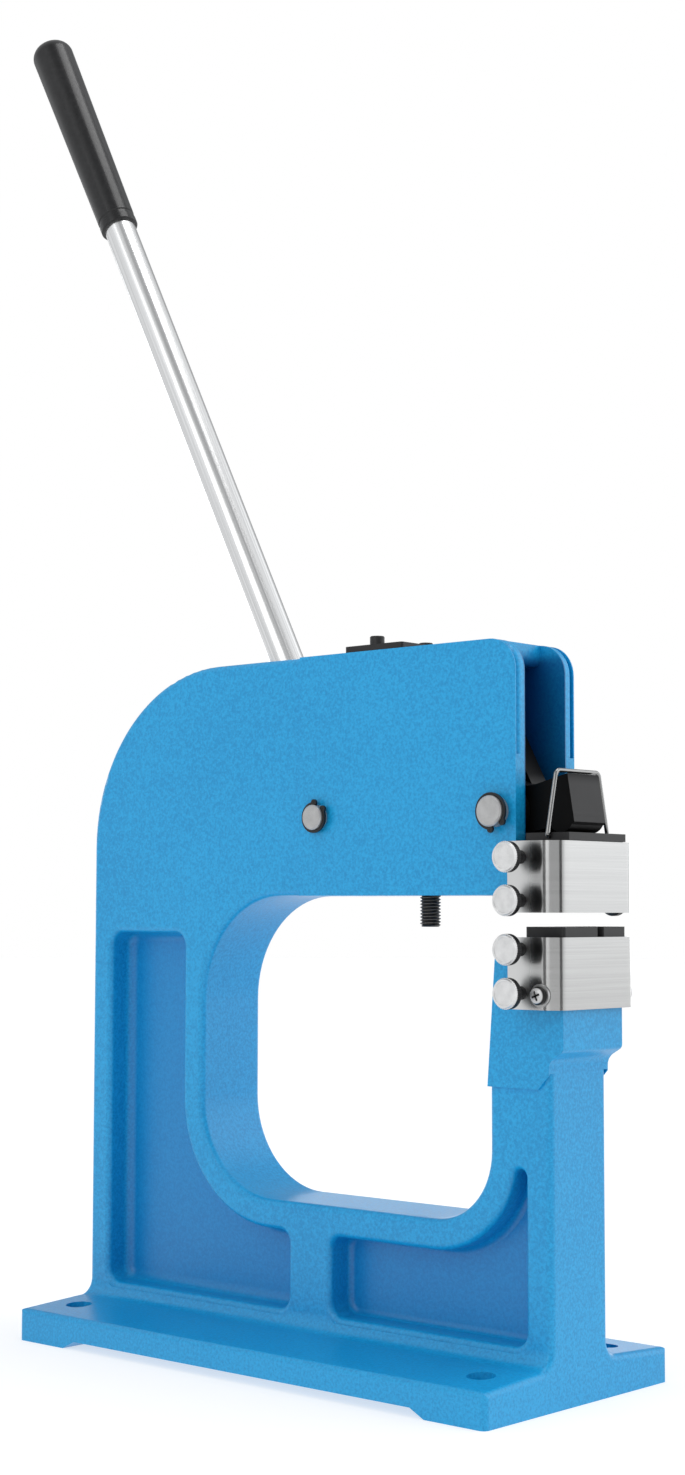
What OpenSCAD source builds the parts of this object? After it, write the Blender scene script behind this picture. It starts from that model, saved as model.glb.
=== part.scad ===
// Deep-throat bench shrinker and stretcher: a cast C-frame on a bolted base, a hand lever that drives
// a rocking press lever through a drag link, and two sets of split dies held by folded steel covers.
// Millimetres. +X points at the jaws, +Z up. The origin is the middle of the four base bolts, on the
// underside of the base.

/* [Base] */
// Length of the base, rear to front
base_l = 298; // [290:1:320]
// Width of the base
base_w = 136; // [124:1:156]
// Thickness of the base at its outer edge
base_t = 15.6; // [13:0.2:19]
// How much thicker the base is where it meets the web
base_rise = 2.2; // [0.5:0.1:4]
// Corner radius of the base in plan
base_corner_r = 3; // [1.5:0.5:6]
// Edge radius along the top of the base
base_edge_r = 2.5; // [1:0.5:4]
// Length of each foot under the base
foot_l = 33; // [26:1:45]
// Height of the relief between the feet
foot_h = 4; // [2:0.5:6]
// Length of the ramp from foot to relief
foot_ramp = 8; // [4:0.5:14]
// Distance of the bolt holes from the ends of the base
bolt_end = 19.5; // [14:0.5:24]
// Distance of the bolt holes from the long edges of the base
bolt_side = 22.5; // [12:0.5:26]
// Diameter of the base bolt holes
bolt_d = 13; // [9:0.5:15]

/* [Frame] */
// Thickness of the frame
body_t = 42; // [40:0.5:48]
// Height of the underside of the arm
arm_under = 223; // [205:1:245]
// Height of the arm from its underside to its top
arm_h = 115.6; // [112:0.2:124]
// Front face of the two cheeks
arm_front = 131.5; // [130.5:0.25:132]
// Radius of the big rear shoulder
shoulder_r = 90; // [60:1:110]
// Radius of the cheek's top front corner
brow_r = 14.5; // [6:0.5:24]
// Rear wall of the throat
throat_back = -67; // [-74:1:-58]
// Floor of the throat
throat_floor = 76.5; // [70:0.5:86]
// Front wall of the throat at the floor
throat_front = 115; // [112:0.5:117]
// Upper rear radius of the throat
throat_r_top = 52; // [36:1:60]
// Lower rear radius of the throat
throat_r_back = 46; // [30:1:54]
// Lower front radius of the throat
throat_r_front = 33; // [20:1:36]
// Width of the slot between the cheeks
slot_w = 30.2; // [29.6:0.2:32]
// Rear end of the slot
slot_back = -46; // [-60:1:-42]
// Thickness of the arm below the slot
slot_floor_t = 12; // [8:0.5:16]
// Front end of the crown that joins the cheeks over the slot
crown_front = 117.5; // [110:0.5:122]
// Rear end of the crown
crown_back = 58; // [50:1:62]
// Thickness of the crown
crown_t = 10; // [6:0.5:12]
// Radius of the crown's lower edges
crown_r = 4; // [1:0.5:5]
// Thickness of the web between the side pockets
web_t = 12; // [8:0.5:18]
// Width of the rim round the side pockets
rim_w = 14; // [11:0.5:17]
// Width of the rib between the two pockets
rib_w = 27; // [18:1:34]
// Middle of that rib
rib_x = 5.8; // [-6:0.5:16]
// How far the top of the tall rear pocket lies below the underside of the arm
pocket_drop = 18.5; // [3:0.5:43]
// Corner radius of the pockets
pocket_r = 7; // [4:0.5:10]
// Fillet between web and base
web_fillet = 8; // [4:0.5:12]
// How far the machined pads stand proud of the frame
pad_t = 1.2; // [0.6:0.1:1.6]
// Radius of the casting's outer edges
cast_r = 3; // [1.5:0.25:4]
// Radius between the pockets' floor and walls
pocket_fillet = 5; // [2:0.25:5.5]
// Width of the post in front of the front pocket
post_rim_w = 14.4; // [11:0.2:17]
// How far below the middle of the throat's front radius the pocket's finger ends
finger_drop = 10.5; // [8:0.5:16]

/* [Pivots] */
// Height of both pivot pins above the underside of the arm
pin_rise = 37.4; // [36:0.2:39]
// Rear pivot, the handle's
rear_pin_x = 12; // [8:0.5:16]
// Front pivot, the press lever's
front_pin_x = 120.4; // [119.6:0.2:121]
// Diameter of the rear pivot pin
rear_pin_d = 12; // [10:0.5:13]
// Diameter of the front pivot pin
front_pin_d = 14; // [11:0.5:16]
// How far a pivot pin stands out of the frame
pin_out = 6; // [5:0.25:8]
// Thickness of the retaining rings
ring_t = 1.2; // [0.8:0.1:1.6]
// Radial height of a retaining ring
ring_w = 1.9; // [1.4:0.1:2.4]

/* [Handle] */
// How far the handle leans back at rest, in degrees
handle_lean = 27.2; // [22:0.2:30]
// Reach of the handle from its pivot to its tip
handle_len = 501.5; // [420:0.5:560]
// Diameter of the handle tube
tube_d = 17; // [15:0.5:18]
// Wall of the handle tube
tube_wall = 2; // [1.5:0.25:3]
// Length of the grip
grip_l = 133; // [100:1:160]
// Grip diameter at its lower end
grip_d_low = 20.5; // [20:0.25:22]
// Grip diameter near its tip
grip_d_top = 23.2; // [21:0.2:25]
// Radius of the rim round the grip's tip
grip_tip_r = 7; // [3:0.5:9]
// Thickness of the handle hub
hub_t = 12; // [10:0.5:13]
// Radius of the hub round its pivot
hub_r = 14; // [12:0.5:16]
// Outer diameter of the socket that holds the tube
socket_d = 25; // [23:0.5:27]
// Distance from the pivot to the foot of the socket
socket_start = 44; // [42:1:50]
// Length of the socket
socket_l = 38; // [30:1:44]

/* [Linkage] */
// Crank radius on the handle hub
crank_hub = 20; // [19:0.5:21]
// Crank radius on the press lever
crank_lever = 50; // [46:1:54]
// Stroke of the handle, in degrees
handle_stroke = 28; // [20:1:30]
// Diameter of the link pins
link_pin_d = 10; // [8:0.5:10.5]
// Thickness of each link plate
link_t = 4.4; // [3:0.2:5]
// Radius of the eyes of the link plates
link_eye_r = 8; // [7.5:0.25:8.5]
// Width of a link plate between its eyes
link_w = 12; // [9:0.5:15]
// Width of the press lever
lever_w = 23.6; // [20:0.4:25]
// Radius of the press lever round its pivot
lever_r = 15; // [12:0.5:16]
// Radius of the press lever's nose
nose_r = 7; // [5:0.5:8]
// Reach of the nose ahead of the pivot
nose_reach = 28.1; // [26:0.1:29]
// Height of the top of the nose above the pivots
nose_rise = 16.5; // [13:0.1:19]
// Diameter of the stop screw under the lever's tail
stop_d = 10; // [8:1:12]
// Place of the stop screw along the arm
stop_x = 63.9; // [60:0.5:70]
// How far the stop screw stands out under the arm
stop_out = 14.6; // [6:0.2:20]

/* [Bridge plate] */
// Rear edge of the bridge plate
bridge_x = 28.4; // [24:0.2:34]
// Length of the bridge plate along the arm
bridge_l = 35.8; // [24:0.2:44]
// Thickness of the bridge plate
bridge_t = 3; // [2:0.5:5]
// Thread of the bridge plate's screws
bridge_screw_d = 4; // [3:0.5:5]

/* [Jaws] */
// Front of the jaw covers
cover_front = 160.3; // [159.5:0.1:162]
// Rear ends of the jaw covers
cover_back = 133; // [132.6:0.1:134]
// Outer width of the jaw covers
cover_w = 61; // [58:0.5:66]
// Sheet thickness of the jaw covers
cover_t = 1.5; // [1:0.1:2]
// Outer bend radius of the jaw covers
cover_bend_r = 9; // [6:0.1:12]
// Height of the jaw covers
cover_h = 31.5; // [30:0.25:33]
// How far the top of the lower cover lies below the underside of the arm
cover_drop = 18.5; // [17:0.1:20]
// Open gap between the two covers
cover_gap = 10.7; // [10.2:0.1:12]
// How far the lower dies stand above their cover
die_out = 4.5; // [3:0.1:4.8]
// Height of the dies
die_h = 12.7; // [11:0.1:14]
// Width of a closed pair of dies, outside to outside at rest
die_w = 47; // [46:0.25:50]
// Rear face of the dies
die_back = 137.3; // [136.8:0.1:138]
// Gap between die halves at rest, across the tool
die_gap = 4.4; // [4.2:0.1:5]
// How far each die half slides in
die_travel = 2; // [1:0.1:2]
// Sideways run of the slanting split from the middle to the front
die_skew = 4.2; // [2:0.1:6]
// Radius of the dies' outer corner in the bend of the cover
die_corner_r = 1.6; // [1.4:0.1:3]
// Width of the upper jaw block
block_w = 42.8; // [40:0.2:44]
// Thickness of the flange on top of the upper jaw block
flange_t = 3.5; // [2.5:0.25:5]
// Front of the lower head inside its cover
head_front = 156.9; // [155:0.1:158]
// How far the lower head reaches down below its cover
head_skirt = 18; // [11:0.5:23]
// How far the post stands back from the front of the base
post_inset = 0; // [0:0.1:1]
// Place of the thumb screws along the covers
thumb_x = 140.3; // [140.2:0.1:142]
// Spacing of the two thumb screws on each side of a cover
thumb_dz = 19; // [17:0.25:20]
// Distance of the nearer thumb screw from the cover's gap edge
thumb_edge = 5.3; // [4.8:0.1:6.5]
// Diameter of a thumb screw's knurled head
thumb_d = 13.8; // [11:0.2:16]
// Thickness of a thumb screw's head
thumb_t = 5; // [3.5:0.25:6]
// Bare thread between head and cover
thumb_neck = 7.4; // [4:0.2:10]
// Thread of the thumb screws
thumb_thread_d = 6; // [5:0.5:7]
// Diameter of a thumb screw's plain point
thumb_point_d = 4; // [3:0.25:4]
// Wire of the bail over the lever's nose
bail_d = 2; // [1.5:0.25:2.5]
// Half width of the bail over the nose
bail_half = 16; // [15:0.25:17.5]
// Thread of the lower cover's side screws
side_screw_d = 4; // [3:0.5:5]
// Place of the side screws along the cover
side_screw_x = 151; // [147:0.2:153]
// Height of the side screws above the cover's bottom edge
side_screw_up = 6.3; // [5.5:0.1:9]

/* [Clearances] */
// Gap between pieces that move past each other
run_gap = 0.3; // [0.2:0.05:0.5]
// Radial clearance of a turning pin
pin_fit = 0.05; // [0.02:0.01:0.1]
// Radial slack at the front eye of the link plates
link_slack = 0.45; // [0.4:0.05:0.6]

/* [Hidden] */
$fn = 72;
far = 400;
blue = [0.10, 0.42, 0.70];
black = [0.07, 0.07, 0.075];
steel = [0.72, 0.72, 0.73];

// Frame
bolt_dx = base_l - 2 * bolt_end;
bolt_dy = base_w - 2 * bolt_side;
half_t = body_t / 2;
pad_half = half_t + pad_t;
slot_half = slot_w / 2;
slot_floor = arm_under + slot_floor_t;
arm_top = arm_under + arm_h;
pin_z = arm_under + pin_rise;
nose_top = pin_z + nose_rise;
lower_cover_top = arm_under - cover_drop;
lower_cover_bottom = lower_cover_top - cover_h;
head_ledge = lower_cover_bottom - head_skirt;
pocket_top = arm_under - pocket_drop;
base_top = base_t + base_rise;
rear_x = -base_l / 2;
post_x = base_l / 2 - post_inset;
pocket_floor = base_top + 7.5;
pocket_low_top = throat_floor - rim_w;
cut_lap = 0.6;
lower_pad_z = head_ledge - 17;
upper_pad_x = front_pin_x - 13.3;
upper_pad_z = pin_z + 25.5;
ledge_drop = (head_front - post_x) * 0.6;
seat_z = lower_cover_top + die_out - die_h - run_gap;
head_top = lower_cover_top - 1;
head_back = die_back - run_gap;
throat_lean = 5;
front_floor_end = front_pin_x - lever_r - 1.5;

// Linkage: at mid stroke both cranks stand square to the link plates
crank_tilt = asin((crank_lever - crank_hub) / (front_pin_x - rear_pin_x));
lever_stroke = handle_stroke * crank_hub / crank_lever;
hub_crank_a = crank_tilt + handle_stroke / 2;
lever_crank_a = crank_tilt + lever_stroke / 2;
hub_crank = [rear_pin_x - crank_hub * sin(hub_crank_a), pin_z + crank_hub * cos(hub_crank_a)];
lever_crank = [front_pin_x - crank_lever * sin(lever_crank_a), pin_z + crank_lever * cos(lever_crank_a)];
link_len = norm(lever_crank - hub_crank);
link_tilt = atan2(lever_crank[1] - hub_crank[1], lever_crank[0] - hub_crank[0]);
arm_t = hub_t;
link_in = hub_t / 2 + run_gap;
link_out = link_in + link_t;
link_pin_half = link_out + run_gap + ring_t + 1;
socket_end = socket_start + socket_l;
tube_start = socket_start + 4;
grip_start = handle_len - grip_l;

// Jaws
upper_cover_bottom = lower_cover_top + cover_gap;
upper_cover_top = upper_cover_bottom + cover_h;
cover_half = cover_w / 2;
cover_in = cover_half - cover_t;
cover_in_x = cover_front - cover_t;
die_front = cover_in_x - run_gap;
die_mid_x = (die_front + die_back) / 2;
die_half = die_w / 2;
lower_die_top = lower_cover_top + die_out;
lower_die_z = lower_die_top - die_h;
upper_die_z = upper_cover_bottom + 0.2;
block_seat_z = upper_die_z + die_h + run_gap;
block_half = block_w / 2;
flange_z = upper_cover_top + 0.2;
block_top = flange_z + flange_t;
tongue_half = slot_half - run_gap;
tongue_x = front_pin_x + 1.2;
tongue_top = pin_z - lever_r - 3.2;
tongue_bottom = upper_die_z + 2;
nose_z = block_top + run_gap + nose_r;
nose_x = front_pin_x + nose_reach;
tail_z = slot_floor + 17;
tip_reach = die_half - die_travel - 0.9;
bore_deep = 0.3;
spring_d = 4.4;
spring_wire = 0.6;
spring_turns = 8;
spring_half = 9;
spring_bore_d = spring_d + 0.5;
lower_thumb_z = [lower_cover_top - thumb_edge, lower_cover_top - thumb_edge - thumb_dz];
upper_thumb_z = [upper_cover_bottom + thumb_edge, upper_cover_bottom + thumb_edge + thumb_dz];
side_screw_z = lower_cover_bottom + side_screw_up;

// Corner rounding for outlines drawn counter-clockwise: one radius for each corner, true arcs
function at(p, i) = p[(i + len(p)) % len(p)];
function unit(v) = v / norm(v);
function bend(p, i) = cross(p[i] - at(p, i - 1), at(p, i + 1) - p[i]);
function opening(p, i) = acos(unit(at(p, i - 1) - p[i]) * unit(at(p, i + 1) - p[i]));
function before(p, r, i) = p[i] + unit(at(p, i - 1) - p[i]) * r[i] / tan(opening(p, i) / 2);
function after(p, r, i) = p[i] + unit(at(p, i + 1) - p[i]) * r[i] / tan(opening(p, i) / 2);
function middle(p, r, i) = p[i] + unit(unit(at(p, i - 1) - p[i]) + unit(at(p, i + 1) - p[i]))
    * r[i] / sin(opening(p, i) / 2);
function heading(v) = atan2(v[1], v[0]);
function swing(a) = a > 180 ? a - 360 : a < -180 ? a + 360 : a;
// The sliver between a corner's chord and its arc
module corner_sliver(p, r, i) intersection() {
    m = middle(p, r, i);
    a = before(p, r, i);
    b = after(p, r, i);
    translate(m) circle(r[i]);
    polygon([a + (m - a) / 5, a, p[i], b, b + (m - b) / 5]);
}
module rounded(p, r) {
    n = len(p) - 1;
    difference() {
        union() {
            polygon([for (i = [0:n]) each r[i] > 0 ? [before(p, r, i), after(p, r, i)] : [p[i]]]);
            for (i = [0:n]) if (r[i] > 0 && bend(p, i) > 0) corner_sliver(p, r, i);
        }
        for (i = [0:n]) if (r[i] > 0 && bend(p, i) < 0) corner_sliver(p, r, i);
    }
}

// An outline in X and Z, given a thickness across the tool from y0 to y1
module across(y0, y1) translate([0, y1, 0]) rotate([90, 0, 0]) linear_extrude(y1 - y0) children();
// The same on both sides of the tool
module both(y0, y1) {
    across(y0, y1) children();
    across(-y1, -y0) children();
}
// The section of a cutter that rounds an edge: the edge is at 0, 0, with the solid at +x and -y
module edge_section(e) difference() {
    translate([-cut_lap, -e]) square(e + cut_lap);
    translate([e, -e]) circle(e);
}
// That cutter along a straight edge from a to b, in the plane z = 0, with the solid to the left and below
module edge_run(a, b, e) translate([a[0], a[1], 0]) rotate([0, 0, heading(b - a)])
    rotate([90, 0, 90]) linear_extrude(norm(b - a)) edge_section(e);
// That cutter round an arc: its middle, radius, first heading and turn, and whether the solid is inside the arc
module edge_turn(m, r, from, turn, e, inside) translate([m[0], m[1], 0]) intersection() {
    rotate_extrude() translate([r, 0]) mirror([inside ? 1 : 0, 0]) edge_section(e);
    linear_extrude(4 * (e + cut_lap), center = true) polygon([[0, 0], for (k = [0:3])
        3 * (r + e) * [cos(from + turn * k / 3), sin(from + turn * k / 3)]]);
}
// Both along the named sides and corners of an outline, with the solid inside or outside that outline
module edge_side(p, r, i, e, inside) {
    j = (i + 1) % len(p);
    a = r[i] > 0 ? after(p, r, i) : p[i];
    b = r[j] > 0 ? before(p, r, j) : p[j];
    edge_run(inside ? a : b, inside ? b : a, e);
}
module edge_corner(p, r, i, e, inside) {
    m = middle(p, r, i);
    from = heading(before(p, r, i) - m);
    edge_turn(m, r[i], from, swing(heading(after(p, r, i) - m) - from), e, (bend(p, i) > 0) == inside);
}
// A plane drawn in X and Z, laid on both faces of the frame at distance y from the middle, with +z outwards
module on_faces(y) for (s = [0, 1]) mirror([0, s, 0]) translate([0, -y, 0]) rotate([90, 0, 0]) children();
// A round bar across the tool
module bar(x, z, d, y0, y1) translate([x, y1, z]) rotate([90, 0, 0]) cylinder(h = y1 - y0, d = d);
// A piece made for the near side, pointing away from the tool, placed at x, z and y on one side
module on_side(s, x, y, z) translate([x, s * y, z]) rotate([s < 0 ? 90 : -90, 0, 0]) children();

fillet_end = half_t + web_fillet + 1;
base_edge = [[-base_w / 2, 0], [base_w / 2, 0], [base_w / 2, base_t], [fillet_end, base_top], [half_t, base_top],
    [half_t, base_top + 2 * web_fillet], [-half_t, base_top + 2 * web_fillet], [-half_t, base_top],
    [-fillet_end, base_top], [-base_w / 2, base_t]];
base_edge_radii = [0, 0, base_edge_r, 0, web_fillet, 0, 0, web_fillet, 0, base_edge_r];
module base() intersection() {
    rotate([90, 0, 90]) linear_extrude(base_l + 2, center = true) rounded(base_edge, base_edge_radii);
    linear_extrude(far) rounded([[rear_x, -base_w / 2], [-rear_x, -base_w / 2], [-rear_x, base_w / 2],
        [rear_x, base_w / 2]], [for (i = [0:3]) base_corner_r]);
}
// The cutter for the edges of one end of the casting: down the frame's corner, round the fillet and out along the base
module end_edges(top) for (s = [0, 1]) mirror([0, s, 0]) rotate([90, 0, 90]) {
    out = base_edge[9] - base_edge[8];
    edge_run([-half_t, top], before(base_edge, base_edge_radii, 7), cast_r);
    edge_corner(base_edge, base_edge_radii, 7, cast_r, true);
    edge_run(after(base_edge, base_edge_radii, 7), base_edge[8], cast_r);
    edge_run(base_edge[8], base_edge[9] + out / norm(out) * cast_r, cast_r);
}
outline_p = [[rear_x, base_t / 2], [post_x, base_t / 2], [post_x, head_ledge - ledge_drop], [head_front, head_ledge],
    [head_front, seat_z], [head_back, seat_z], [head_back, head_top], [throat_front + throat_lean, head_top],
    [throat_front, lower_pad_z], [throat_front, throat_floor], [throat_back, throat_floor],
    [throat_back, arm_under], [arm_front, arm_under], [arm_front, arm_top], [rear_x, arm_top]];
outline_r = [0, 0, 6, 2.5, 0, 0, 0, 2, 0, throat_r_front, throat_r_back, throat_r_top, 2, brow_r, shoulder_r];
module outline() rounded(outline_p, outline_r);
// The cutter for the frame's edges, which end at the machined pads
module outline_edges() {
    for (i = [9, 10, 11, 13, 14]) edge_corner(outline_p, outline_r, i, cast_r, true);
    for (i = [8, 9, 10, 13]) edge_side(outline_p, outline_r, i, cast_r, true);
    edge_run(after(outline_p, outline_r, 11), [upper_pad_x, arm_under], cast_r);
    edge_run([arm_front, upper_pad_z], before(outline_p, outline_r, 13), cast_r);
}
rear_pocket_p = [[rear_x + rim_w, pocket_floor], [rib_x - rib_w / 2, pocket_floor],
    [rib_x - rib_w / 2, pocket_low_top], [throat_back - rim_w, pocket_low_top],
    [throat_back - rim_w, pocket_top], [rear_x + rim_w, pocket_top]];
rear_pocket_r = [pocket_r, pocket_r, pocket_r - 1, throat_r_back + rim_w, pocket_r, pocket_r];
module rear_pocket() rounded(rear_pocket_p, rear_pocket_r);
module rear_pocket_edges(e, inside) for (i = [0:5]) {
    edge_side(rear_pocket_p, rear_pocket_r, i, e, inside);
    edge_corner(rear_pocket_p, rear_pocket_r, i, e, inside);
}
// The front pocket runs up into a finger beside the throat, which has a round end
throat_m = [throat_front - throat_r_front, throat_floor + throat_r_front];
throat_rim_r = throat_r_front + rim_w;
pocket_front = post_x - post_rim_w;
finger_back = throat_m[0] + sqrt(pow(throat_rim_r, 2) - pow(finger_drop, 2));
finger_r = round(50 * (pocket_front - finger_back) + 5) / 100;
finger_m = [pocket_front - finger_r, throat_m[1] - finger_drop];
front_pocket_p = [[rib_x + rib_w / 2, pocket_floor], [pocket_front, pocket_floor], [pocket_front, finger_m[1]],
    [throat_m[0], finger_m[1]], [throat_m[0], pocket_low_top], [rib_x + rib_w / 2, pocket_low_top]];
front_pocket_r = [pocket_r, pocket_r, 0, 0, 0, pocket_r - 1];
module front_pocket() difference() {
    union() {
        rounded(front_pocket_p, front_pocket_r);
        translate(finger_m) circle(finger_r);
    }
    translate(throat_m) circle(throat_rim_r);
}
module front_pocket_edges(e, inside) {
    lean = asin((finger_drop - finger_r / 2) / throat_rim_r);
    for (i = [0, 1, 4, 5]) edge_side(front_pocket_p, front_pocket_r, i, e, inside);
    for (i = [0, 1, 5]) edge_corner(front_pocket_p, front_pocket_r, i, e, inside);
    edge_turn(finger_m, finger_r, 0, 180, e, inside);
    edge_turn(throat_m, throat_rim_r, -90, 90 - lean, e, !inside);
}
// A pocket's hollow on both sides of the web, with its floor rounded into its walls
module rear_hollow() for (s = [0, 1]) mirror([0, s, 0]) difference() {
    across(web_t / 2, far) rear_pocket();
    translate([0, web_t / 2, 0]) rotate([90, 0, 0]) rear_pocket_edges(min(pocket_fillet, pocket_r - 1.5), true);
}
module front_hollow() for (s = [0, 1]) mirror([0, s, 0]) difference() {
    across(web_t / 2, far) front_pocket();
    translate([0, web_t / 2, 0]) rotate([90, 0, 0]) front_pocket_edges(min(pocket_fillet, 0.9 * finger_r), true);
}
module lower_pad() intersection() {
    outline();
    polygon([[0, lower_pad_z], [post_x - 6, lower_pad_z], [post_x + 0.5, lower_pad_z + 7],
        [head_front + 5, head_ledge - 6], [head_front + 5, far], [0, far]]);
}
module upper_pad() intersection() {
    outline();
    rounded([[upper_pad_x, arm_under - 5], [arm_front + 20, arm_under - 5], [arm_front + 20, upper_pad_z],
        [upper_pad_x, upper_pad_z]], [0, 0, 0, 5]);
}
// The slot seen from the side: the crown joins the two cheeks above the press lever
module slot_side() rounded([[slot_back + slot_half, slot_floor], [far, slot_floor], [far, far], [crown_front, far],
    [crown_front, arm_top - crown_t], [crown_back, arm_top - crown_t], [crown_back, far], [slot_back + slot_half, far]],
    [0, 0, 0, 0, crown_r, crown_r, 0, 0]);
module frame_casting() color(blue) difference() {
    union() {
        base();
        across(-half_t, half_t) outline();
        across(-pad_half, pad_half) lower_pad();
        across(-pad_half, pad_half) upper_pad();
    }
    // rounded edges
    on_faces(half_t) outline_edges();
    translate([post_x, 0, 0]) end_edges(lower_pad_z + 7);
    mirror([1, 0, 0]) translate([-rear_x, 0, 0]) end_edges(arm_top - shoulder_r);
    on_faces(half_t) rear_pocket_edges(cast_r, false);
    on_faces(half_t) front_pocket_edges(cast_r, false);
    // relief between the feet
    across(-base_w, base_w) polygon([[rear_x + foot_l, -1], [rear_x + foot_l, 0], [rear_x + foot_l + foot_ramp, foot_h],
        [-rear_x - foot_l - foot_ramp, foot_h], [-rear_x - foot_l, 0], [-rear_x - foot_l, -1]]);
    // bolt holes
    for (sx = [-1, 1], sy = [-1, 1]) translate([sx * bolt_dx / 2, sy * bolt_dy / 2, -1])
        cylinder(h = base_top + 4, d = bolt_d);
    // pockets on both sides of the web
    rear_hollow();
    front_hollow();
    // slot for the levers, with a rounded rear end, open to the front, and to the top behind the crown
    across(-slot_half, slot_half) slot_side();
    translate([slot_back + slot_half, 0, slot_floor]) cylinder(h = far, d = slot_w);
    translate([front_floor_end, -slot_half, arm_under - 5]) cube([far, slot_w, slot_floor_t + 10]);
    // pivots, stop screw and bridge plate screws
    bar(rear_pin_x, pin_z, rear_pin_d, -far, far);
    bar(front_pin_x, pin_z, front_pin_d, -far, far);
    translate([stop_x, 0, arm_under - 5]) cylinder(h = slot_floor_t + 10, d = stop_d);
    for (s = [-1, 1]) translate([bridge_x + bridge_l / 2, s * bridge_y, arm_top - bridge_screw_l])
        cylinder(h = bridge_screw_l + 5, d = bridge_screw_d);
    // holes in the sides of the lower head
    for (s = [-1, 1]) {
        on_side(s, thumb_x, tip_reach - bore_deep, lower_thumb_z[1]) cylinder(h = far, d = thumb_point_d + 0.4);
        on_side(s, side_screw_x, pad_half - side_screw_in, side_screw_z) cylinder(h = far, d = side_screw_d);
    }
}
bridge_y = (half_t + slot_half) / 2;
bridge_screw_l = 12;
side_screw_in = 8;

module bridge_plate() color(black) translate([bridge_x, 0, arm_top]) difference() {
    linear_extrude(bridge_t) rounded([[0, -half_t - 0.3], [bridge_l, -half_t - 0.3], [bridge_l, half_t + 0.3],
        [0, half_t + 0.3]], [for (i = [0:3]) 1.5]);
    for (s = [-1, 1]) translate([bridge_l / 2, s * bridge_y, -1]) cylinder(h = bridge_t + 2, d = bridge_screw_d + 0.5);
}
module cap_screw(d, shank) {
    difference() {
        rotate_extrude() polygon([[0, 0], [d * 0.875, 0], [d * 0.875, d * 0.9], [d * 0.775, d], [0, d]]);
        translate([0, 0, d * 0.45]) cylinder(h = d, d = d * 0.86, $fn = 6);
    }
    translate([0, 0, -shank]) cylinder(h = shank + 0.01, d = d);
}
module bridge_screws() color(black) for (s = [-1, 1])
    translate([bridge_x + bridge_l / 2, s * bridge_y, arm_top + bridge_t]) cap_screw(bridge_screw_d, bridge_screw_l);
module stop_screw() color(black) {
    low = arm_under - stop_out;
    high = tail_z - run_gap;
    difference() {
        translate([stop_x, 0, low]) rotate_extrude() polygon([[0, 0], [stop_d / 2 - 1, 0], [stop_d / 2, 1],
            [stop_d / 2, high - low - 2], [stop_d / 2 - 2, high - low], [0, high - low]]);
        translate([stop_x, 0, low - 1]) cylinder(h = 6, d = stop_d * 0.57, $fn = 6);
    }
}

// A pivot pin with a ring groove near each end and broken edges
module pivot_pin(d, reach) {
    g = reach - 1.5 - ring_t;
    rotate([90, 0, 0]) rotate_extrude() polygon([[0, -reach], [d / 2 - 0.6, -reach], [d / 2, -reach + 0.6],
        [d / 2, -g - ring_t], [d / 2 - 0.5, -g - ring_t], [d / 2 - 0.5, -g], [d / 2, -g], [d / 2, g],
        [d / 2 - 0.5, g], [d / 2 - 0.5, g + ring_t], [d / 2, g + ring_t], [d / 2, reach - 0.6],
        [d / 2 - 0.6, reach], [0, reach]]);
}
// A spring ring with two eyed lugs, lying flat, its gap centred on the direction turn
module spring_ring(d, turn) rotate([0, 0, turn]) linear_extrude(ring_t) difference() {
    union() {
        difference() {
            circle(d / 2 - 0.5 + ring_w);
            circle(d / 2 - 0.5);
            polygon([[0, 0], [far * cos(22), -far * sin(22)], [far * cos(22), far * sin(22)]]);
        }
        for (s = [-1, 1]) rotate([0, 0, s * 27]) translate([d / 2 + 1.1, 0]) difference() {
            circle(1.6);
            circle(0.55);
        }
    }
    circle(d / 2 - 0.5);
}
rear_reach = half_t + pin_out;
front_reach = pad_half + pin_out;
module rear_pivot_pin() color(steel) translate([rear_pin_x, 0, pin_z]) pivot_pin(rear_pin_d, rear_reach);
module front_pivot_pin() color(steel) translate([front_pin_x, 0, pin_z]) pivot_pin(front_pin_d, front_reach);
module rear_rings() color(black) for (s = [-1, 1])
    on_side(s, rear_pin_x, rear_reach - 1.5 - ring_t, pin_z) spring_ring(rear_pin_d, s < 0 ? 61 : -61);
module front_rings() color(black) for (s = [-1, 1])
    on_side(s, front_pin_x, front_reach - 1.5 - ring_t, pin_z) spring_ring(front_pin_d, s < 0 ? -64 : 64);
module spacer_pair(x, bore, d, y0, y1) for (s = [-1, 1]) on_side(s, x, y0, pin_z) difference() {
    cylinder(h = y1 - y0, d = d);
    translate([0, 0, -1]) cylinder(h = far, d = bore);
}
module rear_spacers() color(steel)
    spacer_pair(rear_pin_x, rear_pin_d, rear_pin_d + 7, hub_t / 2 + run_gap, slot_half);
module front_spacers() color(steel)
    spacer_pair(front_pin_x, front_pin_d, front_pin_d + 9, lever_w / 2 + run_gap, slot_half);

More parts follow.
